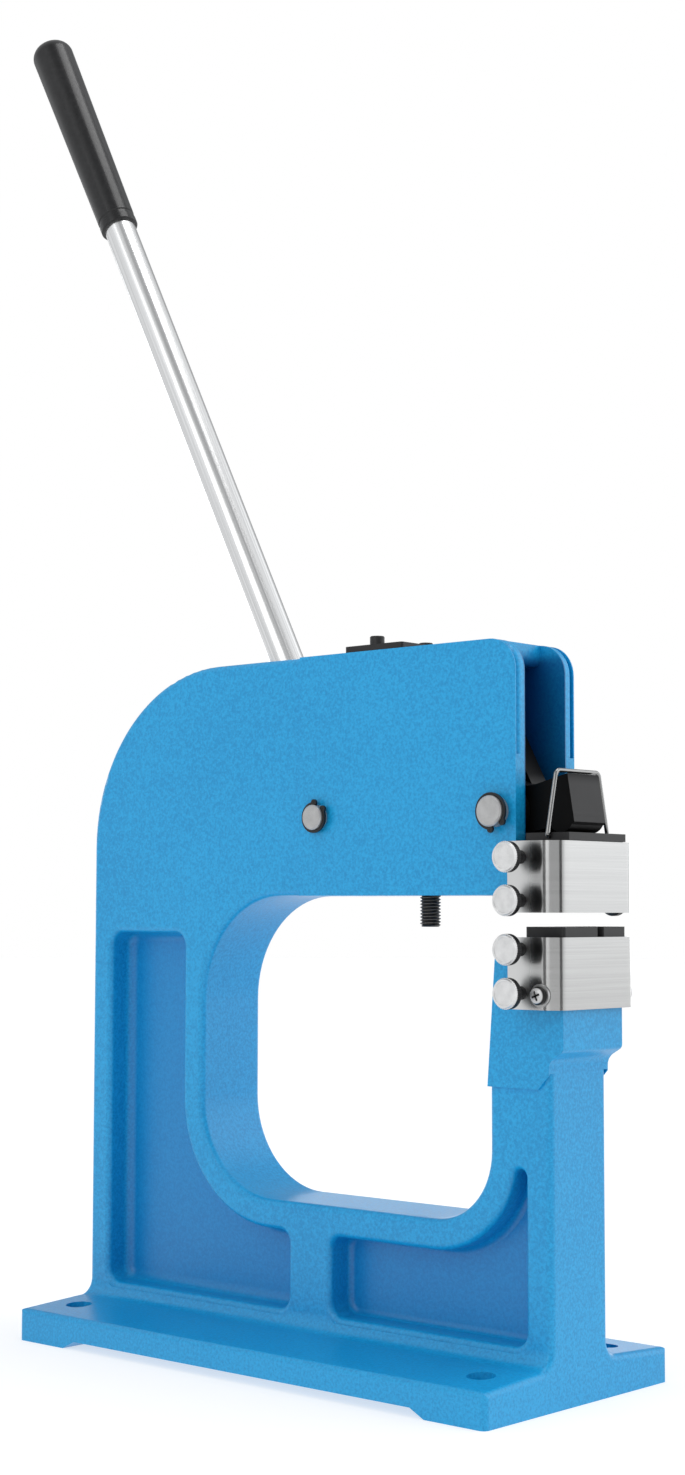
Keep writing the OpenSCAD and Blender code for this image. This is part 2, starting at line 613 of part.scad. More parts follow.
// Things set out along the handle: x forward of it, z from the pivot to the tip
module along_handle() translate([rear_pin_x, 0, pin_z]) rotate([0, -handle_lean, 0]) children();
module handle_hub() color(black) difference() {
    union() {
        bar(rear_pin_x, pin_z, 2 * hub_r, -hub_t / 2, hub_t / 2);
        along_handle() {
            across(-hub_t / 2, hub_t / 2) polygon([[-hub_r, 0], [hub_r, 0], [socket_d / 2, socket_start + 6],
                [-socket_d / 2, socket_start + 6]]);
            translate([0, 0, socket_start]) rotate_extrude() polygon([[0, 0], [socket_d / 2 - 2, 0], [socket_d / 2, 2],
                [socket_d / 2, socket_l - 1.5], [socket_d / 2 - 1.5, socket_l], [0, socket_l]]);
        }
    }
    bar(rear_pin_x, pin_z, rear_pin_d + 2 * pin_fit, -far, far);
    bar(hub_crank[0], hub_crank[1], link_pin_d, -far, far);
    along_handle() translate([0, 0, tube_start]) cylinder(h = far, d = tube_d);
}
module handle_tube() color(steel) along_handle() difference() {
    translate([0, 0, tube_start]) cylinder(h = handle_len - 7 - tube_start, d = tube_d);
    translate([0, 0, tube_start - 1]) cylinder(h = far * 2, d = tube_d - 2 * tube_wall);
}
module handle_grip() color(black) along_handle() difference() {
    r0 = grip_d_low / 2;
    r1 = grip_d_top / 2;
    translate([0, 0, grip_start]) rotate_extrude() rounded([[0, 0], [r0, 0], [r0, 4], [r0 - 0.5, 4.5], [r0 - 0.5, 6.5],
        [r0, 7], [r1, grip_l - 2], [0, grip_l]], [0, 0.8, 0, 0, 0, 0, grip_tip_r, 0]);
    translate([0, 0, grip_start - 1]) cylinder(h = grip_l - 6, d = tube_d);
}

// A plain link pin with a ring groove near each end
module link_pin(p) color(steel) translate([p[0], 0, p[1]]) pivot_pin_short(link_pin_d, link_pin_half);
module pivot_pin_short(d, reach) {
    g = link_out + run_gap;
    rotate([90, 0, 0]) rotate_extrude() polygon([[0, -reach], [d / 2 - 0.5, -reach], [d / 2, -reach + 0.5],
        [d / 2, -g - ring_t], [d / 2 - 0.5, -g - ring_t], [d / 2 - 0.5, -g], [d / 2, -g], [d / 2, g],
        [d / 2 - 0.5, g], [d / 2 - 0.5, g + ring_t], [d / 2, g + ring_t], [d / 2, reach - 0.5],
        [d / 2 - 0.5, reach], [0, reach]]);
}
module link_rings(p) color(black) for (s = [-1, 1]) on_side(s, p[0], link_out + run_gap, p[1]) difference() {
    cylinder(h = ring_t, d = link_pin_d + 2 * ring_w - 1);
    translate([0, 0, -1]) cylinder(h = 5, d = link_pin_d - 1);
    translate([0, -1.2, -1]) cube([far, 2.4, 5]);
}
module hub_link_pin() link_pin(hub_crank);
module lever_link_pin() link_pin(lever_crank);
module hub_pin_rings() link_rings(hub_crank);
module lever_pin_rings() link_rings(lever_crank);
module link_plates() color(black) for (s = [-1, 1]) difference() {
    translate([hub_crank[0], 0, hub_crank[1]]) rotate([0, -link_tilt, 0])
        across(s < 0 ? -link_out : link_in, s < 0 ? -link_in : link_out) {
            circle(link_eye_r);
            translate([link_len, 0]) circle(link_eye_r);
            translate([0, -link_w / 2]) square([link_len, link_w]);
        }
    bar(hub_crank[0], hub_crank[1], link_pin_d + 2 * pin_fit, -far, far);
    bar(lever_crank[0], lever_crank[1], link_pin_d + 2 * link_slack, -far, far);
}
module press_lever() color(black) difference() {
    union() {
        across(-lever_w / 2, lever_w / 2) {
            translate([front_pin_x, pin_z]) circle(lever_r);
            // nose
            polygon([[front_pin_x, pin_z - lever_r + 4], [nose_x - nose_r * 0.76, nose_z - nose_r * 0.65],
                [nose_x + nose_r * 0.43, nose_z - nose_r * 0.88], [nose_x + nose_r * 1.06, nose_z - nose_r * 0.34],
                [nose_x + nose_r * 0.54, nose_top],
                [nose_x - nose_r * 2.1, nose_top - 4.6], [front_pin_x, pin_z + lever_r - 4]]);
            translate([nose_x, nose_z]) circle(nose_r);
            // tail over the stop screw
            rounded([[stop_x - 8, tail_z], [stop_x + 8, tail_z], [front_pin_x, pin_z - lever_r],
                [front_pin_x, pin_z + lever_r], [stop_x - 8, tail_z + 15]], [3, 0, 0, 0, 3]);
        }
        // crank arm between the link plates
        across(-arm_t / 2, arm_t / 2) {
            translate(lever_crank) circle(link_eye_r + 0.5);
            translate([front_pin_x, pin_z]) rotate(lever_crank_a) polygon([[-lever_r + 2, 0], [lever_r - 2, 0],
                [link_eye_r - 0.5, crank_lever], [0.5 - link_eye_r, crank_lever]]);
        }
    }
    bar(front_pin_x, pin_z, front_pin_d + 2 * pin_fit, -far, far);
    bar(lever_crank[0], lever_crank[1], link_pin_d, -far, far);
}

module upper_jaw_block() color(black) difference() {
    union() {
        translate([head_back - 0.4, -block_half, block_seat_z])
            cube([die_front - head_back + 0.4, block_w, block_top - block_seat_z]);
        translate([head_back - 0.4, -block_half, flange_z])
            cube([cover_front - 0.2 - head_back + 0.4, block_w, flange_t]);
        translate([tongue_x, -tongue_half, tongue_bottom])
            cube([head_back - tongue_x, 2 * tongue_half, tongue_top - tongue_bottom]);
    }
    for (s = [-1, 1]) {
        on_side(s, thumb_x, tip_reach - bore_deep, upper_thumb_z[1]) cylinder(h = far, d = thumb_point_d + 0.4);
        on_side(s, bail_x, block_half - bail_in, bail_z) cylinder(h = far, d = bail_d);
    }
}
bail_x = nose_x + 0.8;
bail_z = flange_z + flange_t / 2;
bail_in = 4;
bail_out = block_half + bail_d * 0.75;
bail_bend = bail_d * 0.55;
bail_top = nose_top + run_gap + bail_d / 2;
// A round wire laid along a flat path, straight between bends of one radius
module bent_wire(p, r, d) {
    n = len(p) - 1;
    for (i = [0:n - 1]) {
        a = r[i] > 0 ? after(p, r, i) : p[i];
        b = r[i + 1] > 0 ? before(p, r, i + 1) : p[i + 1];
        lap = 0.15;
        translate([a[0], a[1], 0]) rotate([0, 0, heading(b - a)]) rotate([0, 90, 0])
            translate([0, 0, r[i] > 0 ? -lap : 0])
                cylinder(h = norm(b - a) + (r[i] > 0 ? lap : 0) + (r[i + 1] > 0 ? lap : 0), d = d);
    }
    for (i = [1:n - 1]) if (r[i] > 0) {
        m = middle(p, r, i);
        from = heading(before(p, r, i) - m);
        turn = swing(heading(after(p, r, i) - m) - from);
        translate([m[0], m[1], 0]) intersection() {
            rotate_extrude() translate([r[i], 0]) circle(d / 2 + 0.03);
            linear_extrude(2 * d, center = true) polygon([[0, 0], for (k = [0:2])
                4 * (r[i] + d) * [cos(from + turn * k / 2), sin(from + turn * k / 2)]]);
        }
    }
}
module wire_bail() color(black) translate([bail_x, 0, 0]) rotate([90, 0, 90]) bent_wire(
    [[bail_in - block_half, bail_z], [-bail_out, bail_z], [-bail_half, bail_top], [bail_half, bail_top],
        [bail_out, bail_z], [block_half - bail_in, bail_z]],
    [0, bail_bend, bail_d * 1.4, bail_d * 1.4, bail_bend, 0], bail_d);

// A cover folded from sheet: three sides, open to the rear
module cover_sheet(z) translate([0, 0, z]) linear_extrude(cover_h) difference() {
    rounded([[cover_back, -cover_half], [cover_front, -cover_half], [cover_front, cover_half],
        [cover_back, cover_half]], [0, cover_bend_r, cover_bend_r, 0]);
    rounded([[cover_back - 5, -cover_in], [cover_in_x, -cover_in], [cover_in_x, cover_in], [cover_back - 5, cover_in]],
        [0, cover_bend_r - cover_t, cover_bend_r - cover_t, 0]);
}
module cover_holes(x, z, d) bar(x, z, d, -far, far);
module upper_jaw_cover() color(steel) difference() {
    cover_sheet(upper_cover_bottom);
    for (z = upper_thumb_z) cover_holes(thumb_x, z, thumb_thread_d);
}
module lower_jaw_cover() color(steel) difference() {
    cover_sheet(lower_cover_bottom);
    for (z = lower_thumb_z) cover_holes(thumb_x, z, thumb_thread_d);
    cover_holes(side_screw_x, side_screw_z, side_screw_d + 0.4);
}
// A thumb screw pointing outward from its tip: plain point, thread, knurled head with a dished edge
module thumb_screw() {
    length = cover_half + thumb_neck - tip_reach;
    point = die_half + 0.6 - tip_reach;
    rotate_extrude() polygon([[0, 0], [thumb_point_d / 2 - 0.4, 0], [thumb_point_d / 2, 0.4],
        [thumb_point_d / 2, point], [thumb_thread_d / 2, point], [thumb_thread_d / 2, length],
        [thumb_d / 2 - 1.2, length], [thumb_d / 2, length + 0.8], [thumb_d / 2, length + thumb_t - 1],
        [thumb_d / 2 - 0.7, length + thumb_t], [0, length + thumb_t]]);
}
module thumb_screws(zs) for (s = [-1, 1], z = zs) on_side(s, thumb_x, tip_reach, z) thumb_screw();
module upper_thumb_screws() color(steel) thumb_screws(upper_thumb_z);
module lower_thumb_screws() color(steel) thumb_screws(lower_thumb_z);
module cover_screws() color(steel) for (s = [-1, 1])
    on_side(s, side_screw_x, cover_half + washer_t, side_screw_z) difference() {
        union() {
            rotate_extrude() polygon([[0, 0], [side_screw_d, 0], [side_screw_d, side_screw_d * 0.35],
                [side_screw_d * 0.8, side_screw_d * 0.62], [side_screw_d * 0.45, side_screw_d * 0.75],
                [0, side_screw_d * 0.78]]);
            translate([0, 0, pad_half - side_screw_in - cover_half - washer_t])
                cylinder(h = cover_half + washer_t + side_screw_in - pad_half + 0.01, d = side_screw_d);
        }
        for (a = [0, 90]) rotate([0, 0, a + 20]) translate([-side_screw_d * 0.55, -0.5, side_screw_d * 0.3])
            cube([side_screw_d * 1.1, 1, side_screw_d]);
    }
washer_t = 1;
spacer_d = side_screw_d + 2.6;
module cover_washers() color(steel) for (s = [-1, 1]) on_side(s, side_screw_x, cover_half, side_screw_z) difference() {
    cylinder(h = washer_t, d = side_screw_d * 2.5);
    translate([0, 0, -1]) cylinder(h = far, d = side_screw_d + 0.3);
}
// How far the inside of a cover's bend has drawn in at x
function bend_sag(x) = let (r = cover_bend_r - cover_t, run = max(0, x - cover_in_x + r)) r - sqrt(r * r - run * run);
module cover_spacers() color(steel) for (s = [-1, 1]) on_side(s, side_screw_x, pad_half, side_screw_z) difference() {
    cylinder(h = cover_in - pad_half - bend_sag(side_screw_x + spacer_d / 2) - 0.02, d = spacer_d);
    translate([0, 0, -1]) cylinder(h = far, d = side_screw_d + 0.3);
}

// One half of a pair of dies in plan, for the near side: the inner edge slants, the outer corners
// clear the bend of the cover
module die_plan() rounded([[die_back, -die_half], [die_front, -die_half], [die_front, die_skew - die_gap / 2],
    [die_back, -die_skew - die_gap / 2]], [die_corner_r, die_corner_r, 0.4, 0.4]);
// The holes of a near half: the thumb screw's point and the spring's seat
module die_holes(z, screw_z) {
    bar(thumb_x, screw_z, thumb_point_d + 0.6, -far, -tip_reach + bore_deep);
    bar(die_mid_x, z + die_h / 2, spring_bore_d, -spring_half - die_travel - run_gap, far);
}
module die_near(z, screw_z) color(black) difference() {
    translate([0, 0, z]) linear_extrude(die_h) die_plan();
    die_holes(z, screw_z);
}
// The far half is the same half turned round, with its screw hole in line with the near one
module die_far(z, screw_z) color(black) difference() {
    translate([die_mid_x, 0, z]) rotate([0, 0, 180]) translate([-die_mid_x, 0, 0]) linear_extrude(die_h) die_plan();
    mirror([0, 1, 0]) die_holes(z, screw_z);
}
module lower_die_near() die_near(lower_die_z, lower_thumb_z[0]);
module upper_die_near() die_near(upper_die_z, upper_thumb_z[0]);
module lower_die_far() die_far(lower_die_z, lower_thumb_z[0]);
module upper_die_far() die_far(upper_die_z, upper_thumb_z[0]);
// The spring that parts two die halves: one unbroken wire wound round the line between them
module die_spring(z) color(steel) translate([die_mid_x, 0, z + die_h / 2]) rotate([90, 0, 0]) coil();
coil_r = (spring_d - spring_wire) / 2;
coil_rings = 8;
coil_steps = spring_turns * coil_rings;
coil_sides = 6;
function coil_point(i) = [coil_r * cos(360 * i / coil_rings), coil_r * sin(360 * i / coil_rings),
    -spring_half + spring_wire / 2 + (2 * spring_half - spring_wire) * i / coil_steps];
function coil_out(i) = [cos(360 * i / coil_rings), sin(360 * i / coil_rings), 0];
module coil() {
    pts = [for (i = [0:coil_steps], k = [0:coil_sides - 1]) coil_point(i)
        + coil_out(i) * spring_wire / 2 * cos(360 * k / coil_sides)
        + [0, 0, spring_wire / 2 * sin(360 * k / coil_sides)]];
    walls = [for (i = [0:coil_steps - 1], k = [0:coil_sides - 1]) let (a = i * coil_sides + k,
        b = i * coil_sides + (k + 1) % coil_sides) each [[a, b, a + coil_sides],
        [b, b + coil_sides, a + coil_sides]]];
    first = [for (k = [1:coil_sides - 2]) [0, k + 1, k]];
    last = [for (k = [1:coil_sides - 2]) [0, k, k + 1] + [for (j = [0:2]) coil_steps * coil_sides]];
    polyhedron(pts, concat(walls, first, last));
    echo(spring_gap = min([for (i = [0:coil_steps - coil_rings])
        norm(coil_point(i + coil_rings) - coil_point(i))]) - spring_wire);
}
module lower_die_spring() die_spring(lower_die_z);
module upper_die_spring() die_spring(upper_die_z);

frame_casting();
bridge_plate();
bridge_screws();
stop_screw();
rear_pivot_pin();
front_pivot_pin();
rear_rings();
front_rings();
rear_spacers();
front_spacers();
handle_hub();
handle_tube();
handle_grip();
hub_link_pin();
hub_pin_rings();
link_plates();
press_lever();
lever_link_pin();
lever_pin_rings();
upper_jaw_block();
wire_bail();
upper_jaw_cover();
upper_thumb_screws();
upper_die_spring();
upper_die_near();
upper_die_far();
lower_jaw_cover();
lower_thumb_screws();
cover_screws();
cover_washers();
cover_spacers();
lower_die_spring();
lower_die_near();
lower_die_far();
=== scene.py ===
# %% [markdown]
# # A bench shrinker and stretcher, dressed for its picture
# The exact solids of the tool are made elsewhere and come in as a frame: every casting, pin, plate and die is an
# object that already stands in its place, in metres. This lesson gives each of them its finish, and models again
# the few small parts whose charm is in the detail: the threaded stop screw and the knurled thumb screws.

# %% Load the tool
import math
import bmesh
import bpy
from mathutils import Matrix, Vector


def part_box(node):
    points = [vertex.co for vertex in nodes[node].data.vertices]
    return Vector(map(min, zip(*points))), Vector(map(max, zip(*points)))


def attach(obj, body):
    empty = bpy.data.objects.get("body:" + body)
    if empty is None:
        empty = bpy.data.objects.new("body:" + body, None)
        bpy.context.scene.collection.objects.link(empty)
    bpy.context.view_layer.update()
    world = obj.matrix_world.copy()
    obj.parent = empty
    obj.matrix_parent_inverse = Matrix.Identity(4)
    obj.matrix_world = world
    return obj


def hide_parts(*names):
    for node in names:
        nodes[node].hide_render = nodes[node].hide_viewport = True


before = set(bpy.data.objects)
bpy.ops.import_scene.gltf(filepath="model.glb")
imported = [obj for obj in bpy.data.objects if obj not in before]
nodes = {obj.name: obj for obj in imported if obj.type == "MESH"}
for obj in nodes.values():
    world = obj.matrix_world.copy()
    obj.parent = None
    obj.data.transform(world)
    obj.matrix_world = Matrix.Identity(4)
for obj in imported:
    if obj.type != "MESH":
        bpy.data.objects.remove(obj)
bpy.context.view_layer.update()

# %% [markdown]
# ## The camera
# A camera is easiest to copy from a photograph when its three directions are known: where it looks, what is to its
# right and what is above it. Those three are the columns of its rotation. A camera looks along its own -Z, so the
# last column is the view direction turned round. The lens follows from the height of the picture: with the sensor
# fitted to the vertical side, a longer lens flattens the shape and a shorter one makes the base loom.

# %% Camera
camera = bpy.data.objects.new("camera", bpy.data.cameras.new("camera"))
bpy.context.scene.collection.objects.link(camera)
camera.data.sensor_fit = "VERTICAL"
camera.data.sensor_height = 36.0
camera.data.lens = 54.68
look = Vector((-0.66513, 0.74281, 0.07641)).normalized()
right = look.cross(Vector((0.0496, -0.0581, 0.9971))).normalized()
above = right.cross(look)
turn = Matrix((right, above, -look)).transposed()
camera.matrix_world = Matrix.Translation((0.73844, -0.81563, 0.21657)) @ turn.to_4x4()
bpy.context.scene.camera = camera
print("camera at", tuple(round(v, 3) for v in camera.location))

# %% [markdown]
# ## Shader arithmetic
# A finish is a small sum: so much grain, less where it is worn, times a colour. Written as nodes that sum is long,
# so one class wraps a socket and lets Python's own signs add the Math nodes. Everything else, such as noise or a
# colour mix, comes from the one method that makes a node, sets it up, and then fills or links its sockets.

# %% Sockets that add and multiply
class Value:
    def __init__(self, board, socket):
        self.board = board
        self.socket = socket

    def sum(self, operation, *terms):
        return self.board.node("ShaderNodeMath", {"operation": operation}, dict(enumerate(terms)))

    def __add__(self, other):
        return self.sum("ADD", self, other)

    def __sub__(self, other):
        return self.sum("SUBTRACT", self, other)

    def __rsub__(self, other):
        return self.sum("SUBTRACT", other, self)

    def __mul__(self, other):
        return self.sum("MULTIPLY", self, other)

    def __pow__(self, other):
        return self.sum("POWER", self, other)

    def __abs__(self):
        return self.sum("ABSOLUTE", self, 0.0)

    __radd__ = __add__
    __rmul__ = __mul__


# %% A board of nodes
class Board:
    def __init__(self, tree, place):
        self.tree = tree
        self.tree.nodes.clear()
        self.place = self.node("ShaderNodeTexCoord", out=place)

    def fill(self, made, sockets):
        for name, value in sockets.items():
            if isinstance(value, Value):
                self.tree.links.new(value.socket, made.inputs[name])
            else:
                made.inputs[name].default_value = value

    def node(self, kind, settings=None, sockets=None, out=0):
        made = self.tree.nodes.new(kind)
        for name, value in (settings or {}).items():
            setattr(made, name, value)
        self.fill(made, sockets or {})
        return Value(self, made.outputs[out])

    def noise(self, scale, detail=2.0, rough=0.5, place=None):
        return self.node("ShaderNodeTexNoise", {}, {"Vector": place or self.place, "Scale": scale,
                                                    "Detail": detail, "Roughness": rough})

    def stretched(self, size, turned=(0, 0, 0)):
        return self.node("ShaderNodeMapping", {"vector_type": "TEXTURE"},
                         {"Vector": self.place, "Rotation": turned, "Scale": [1 / s for s in size]})

    def band(self, value, low, high):
        return self.node("ShaderNodeMapRange", {"interpolation_type": "SMOOTHSTEP"},
                         {"Value": value, "From Min": low, "From Max": high})

    def mix(self, share, a, b):
        return self.node("ShaderNodeMix", {"data_type": "RGBA"}, {0: share, 6: a, 7: b}, out=2)

    def bump(self, height, depth, strength=1.0):
        return self.node("ShaderNodeBump", {}, {"Height": height, "Distance": depth, "Strength": strength})

    def axes(self, vector=None):
        return [self.node("ShaderNodeSeparateXYZ", {}, {0: vector or self.place}, out=axis) for axis in range(3)]


# %% A finish is a board with a surface on it
class Finish(Board):
    def __init__(self, name, **sockets):
        self.material = bpy.data.materials.new(name)
        self.material.use_nodes = True
        super().__init__(self.material.node_tree, "Object")
        self.surface = self.tree.nodes.new("ShaderNodeBsdfPrincipled")
        output = self.tree.nodes.new("ShaderNodeOutputMaterial")
        self.tree.links.new(self.surface.outputs[0], output.inputs[0])
        self.set(**sockets)

    def set(self, **sockets):
        self.fill(self.surface, {name.replace("_", " "): value for name, value in sockets.items()})


print("shader arithmetic ready")

# %% [markdown]
# ## Blue paint on cast iron
# The frame is a rough sand casting under one coat of azure paint. The paint fills the pores but the grain still
# shows as a fine speckle, about a millimetre across, that is lighter on the crowns and darker in the pits. Two
# noises give it: a fine one for the speckle and the bump, and a slow one that lets the coat vary a little in depth.
# The floors of the pockets, which look sideways and sit near the middle of the casting, are painted a deeper blue,
# and the narrow slot between the cheeks is painted nearly black: both are painted shade, for the little light that
# reaches there. Two masks built from the place and the normal say where, and the slot's mouth is painted a little
# paler, where light comes in at the front.

# %% Blue paint
paint = Finish("blue_paint", Specular_IOR_Level=0.45, IOR=1.5)
speckle = paint.noise(780.0, 4.0, 0.62)
coat = paint.noise(9.0, 2.0, 0.5)
share = paint.band(speckle * 0.82 + coat * 0.18, 0.34, 0.66)
azure = paint.mix(share, (0.001, 0.250, 0.55, 1), (0.010, 0.360, 0.71, 1))
px, py, pz = paint.axes()
# Painted shade: the slot between the cheeks is painted nearly black, a little less at its mouth where light comes in.
between = 1 - paint.band(abs(py), 0.0154, 0.0162)
above_floor = paint.band(pz, 0.231, 0.236)
below_crown = 1 - paint.band(pz, 0.329, 0.337)
mouth = paint.band(px, 0.108, 0.131)
slot = between * paint.band(px, -0.050, -0.047) * above_floor * below_crown * (1 - 0.35 * mouth)
_, facing, _ = paint.axes(paint.node("ShaderNodeNewGeometry", out="Normal"))
# Painted shade: the floors of the pockets, which look sideways, are painted a deeper blue.
sunk = 1 - paint.band(abs(py), 0.009, 0.017)
pocket_shade = sunk * paint.band(abs(facing), 0.3, 0.9) * (1 - paint.band(pz, 0.21, 0.225))
# Painted shade colours: a deeper blue for the pockets, near black for the slot.
azure_with_pocket_shade = paint.mix(pocket_shade * 0.5, azure, (0.0003, 0.145, 0.44, 1))
paint.set(Base_Color=paint.mix(slot * 0.95, azure_with_pocket_shade, (0.0003, 0.025, 0.16, 1)),
          Roughness=0.25 + speckle * 0.12 + coat * 0.06,
          Normal=paint.bump(speckle, 0.0002, 0.4))
print("blue paint:", len(paint.tree.nodes), "nodes")

# %% [markdown]
# ## Black oxide
# Plates, rings, dies and the jaw block are blackened steel: not a paint but a thin oxide, so the tool marks stay
# visible as faint streaks and the colour clouds a little with handling.

# %% Black steel
oxide = Finish("black_steel", Specular_IOR_Level=0.4)
cloud = oxide.noise(55.0, 3.0, 0.55)
fine = oxide.noise(1500.0, 2.0, 0.5)
oxide.set(Base_Color=oxide.mix(oxide.band(cloud, 0.3, 0.7), (0.004, 0.004, 0.005, 1), (0.012, 0.012, 0.013, 1)),
          Roughness=0.30 + cloud * 0.14 + fine * 0.08,
          Normal=oxide.bump(fine, 0.00003, 0.5))
print("black steel:", len(oxide.tree.nodes), "nodes")

# %% [markdown]
# ## Black in painted shade, spring wire and the lever
# The linkage inside the slot is the same steel, given a darker and duller copy of the black: painted shade, for
# the shadow between the cheeks. The bail is hard-drawn wire that was never blackened all over. The lever is black
# too, apart from the face at its front end, which is painted a dull grey as a painted reflection of the light in
# front: it is found as the part of the lever that looks forwards, low down.

# %% Black in painted shade, spring wire, lever
# Painted shade: the linkage inside the slot is painted darker than the black steel outside it.
shaded = Finish("shaded_black", Specular_IOR_Level=0.12)
mottle = shaded.noise(90.0, 3.0, 0.55)
shaded.set(Base_Color=shaded.mix(mottle, (0.002, 0.002, 0.002, 1), (0.006, 0.006, 0.006, 1)),
          Roughness=0.45 + mottle * 0.2, Normal=shaded.bump(mottle, 0.00004, 0.4))

wire = Finish("spring_wire", Metallic=1.0)
drawn = wire.noise(300.0, 2.0, 0.5)
wire.set(Base_Color=wire.mix(drawn, (0.24, 0.24, 0.24, 1), (0.32, 0.32, 0.315, 1)),
         Roughness=0.14 + drawn * 0.10, Normal=wire.bump(drawn, 0.000004, 0.3))

lever = Finish("lever_black", Specular_IOR_Level=0.08)
_, _, height = lever.axes()
ahead, _, _ = lever.axes(lever.node("ShaderNodeNewGeometry", out="Normal"))
# Painted reflection: the face that looks forwards, low down, is painted a dull grey; the rest stays black.
painted_front_sheen = lever.band(ahead, 0.5, 0.9) * (1 - lever.band(height, 0.272, 0.279))
soot = lever.noise(90.0, 3.0, 0.55)
lever.set(Base_Color=lever.mix(painted_front_sheen, (0.002, 0.002, 0.002, 1), (0.050, 0.050, 0.051, 1)),
          Roughness=0.36 + soot * 0.16, Normal=lever.bump(soot, 0.00003, 0.4))
print("oiled black, wire, lever:", len(shaded.tree.nodes), len(wire.tree.nodes), len(lever.tree.nodes), "nodes")

# %% [markdown]
# ## Brushed sheet
# The two jaw covers are bent from brushed stainless strip. A belt drags fine lines along the strip, and they wrap
# round the bend with it. The lines are level, so a noise that is squeezed hard in height and hardly at all along X
# and Y follows them on every face. Such lines blur a reflection up and down and leave it sharp along the strip:
# that is what Anisotropic does, once its direction is turned a quarter round. A sheet that was bent is never quite
# flat beside its bend, so the bump also bows the sides by a few degrees, and the reflection slides across them. The
# sides behind the bend are rougher than the front, and their colour is painted paler than the front's: painted
# light, a painted reflection that brightens them.

# %% Brushed steel
sheet = Finish("brushed_steel", Metallic=1.0, Anisotropic=0.7, Anisotropic_Rotation=0.25)
line = sheet.noise(1.0, 3.0, 0.6, sheet.stretched((20, 20, 12000)))
wide = sheet.noise(1.0, 2.0, 0.5, sheet.stretched((9, 9, 1500)))
along, _, _ = sheet.axes()
bend_start = 0.147
behind = along.sum("MINIMUM", along - bend_start, 0.0)
front = sheet.band(along, 0.143, 0.149)
brushed = sheet.mix(sheet.band(line * 0.5 + wide * 0.5, 0.25, 0.75),
                    (0.42, 0.42, 0.417, 1), (0.485, 0.485, 0.481, 1))
# Painted reflection: the sides behind the bend get the paler colour, the front keeps the brushed grey.
sheet.set(Base_Color=sheet.mix(front, (0.66, 0.66, 0.655, 1), brushed),
          Roughness=0.29 + line * 0.04 + wide * 0.02 - 0.14 * front,
          Normal=sheet.bump(line * 0.0000012 + behind * behind * 0.8, 1.0))
print("brushed steel:", len(sheet.tree.nodes), "nodes")

# %% [markdown]
# ## Turned steel
# Pins and screw heads come off a lathe, which leaves rings round their axis. A material that knows the axis can
# draw them: the distance from it drives a noise of one dimension. Where one piece holds several screws, the
# smallest of the distances is the right one. The surface is dull from plating, so it is only partly a mirror. The
# cross of a screw's head and the ring round its rim lie deeper than its face, and are painted near black there:
# painted shade in the recesses.

# %% Turned steel
def turned_steel(name, axles, tone=0.86, metal=0.55, face=None):
    turned = Finish(name, Metallic=metal)
    px, py, pz = turned.axes()
    reach = None
    for x, z in axles:
        away = ((px - x) ** 2 + (pz - z) ** 2) ** 0.5
        reach = away if reach is None else away.sum("MINIMUM", reach, away)
    ring = turned.node("ShaderNodeTexNoise", {"noise_dimensions": "1D"}, {"W": reach * 5200, "Detail": 2.0})
    haze = turned.noise(260.0, 2.0, 0.5)
    colour = turned.mix(turned.band(ring * 0.6 + haze * 0.4, 0.3, 0.7),
                        [0.50 * tone] * 3 + [1], [0.68 * tone] * 3 + [1])
    # Painted shade: what lies deeper than the face of a screw's head is painted near black.
    if face:
        colour = turned.mix(turned.band(face - abs(py), 0.0006, 0.0011), colour, (0.015, 0.015, 0.015, 1))
    turned.set(Base_Color=colour,
               Roughness=0.30 + ring * 0.12 + haze * 0.08,
               Normal=turned.bump(ring, 0.00001, 0.35))
    return turned.material


centre = {name: [(a + b) / 2 for a, b in zip(*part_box(name))] for name in nodes}
print("axis of the rear pin:", [round(v, 4) for v in centre["rear_pivot_pin"]])

# %% [markdown]
# ## The handle's tube and grip
# The tube is drawn and polished lengthwise, so its faint streaks run along it, and the grip is a glossy dipped
# sleeve. Both lean back, and a Mapping node leans the pattern with them.

# %% Polished tube and black grip
lean = math.radians(27.2)
tube = Finish("polished_tube", Metallic=1.0)
streak = tube.noise(1.0, 3.0, 0.6, tube.stretched((700, 700, 3), (0, -lean, 0)))
tube.set(Base_Color=tube.mix(tube.band(streak, 0.3, 0.7), (0.66, 0.66, 0.66, 1), (0.86, 0.86, 0.86, 1)),
         Roughness=0.19 + streak * 0.10,
         Normal=tube.bump(streak, 0.000012, 0.4))

grip = Finish("black_grip", Specular_IOR_Level=0.36, Coat_Roughness=0.08)
ripple = grip.noise(1.0, 2.0, 0.5, grip.stretched((260, 260, 24), (0, -lean, 0)))
dust = grip.noise(420.0, 3.0, 0.6)
grip.set(Base_Color=grip.mix(grip.band(dust, 0.35, 0.75), (0.0045, 0.0045, 0.005, 1), (0.010, 0.010, 0.011, 1)),
         Roughness=0.24 + dust * 0.12, Coat_Weight=0.05 + ripple * 0.10,
         Normal=grip.bump(ripple * 0.7 + dust * 0.3, 0.00005, 0.5))
print("tube and grip:", len(tube.tree.nodes), len(grip.tree.nodes), "nodes")

# %% [markdown]
# ## Which piece wears what
# Each solid has material slots of its own, and giving a piece a finish is only a matter of filling them. Turned
# pieces are done one at a time, because the rings need their axis.

# %% Dress the solids
def wear(name, material):
    for place in nodes[name].material_slots:
        place.material = material


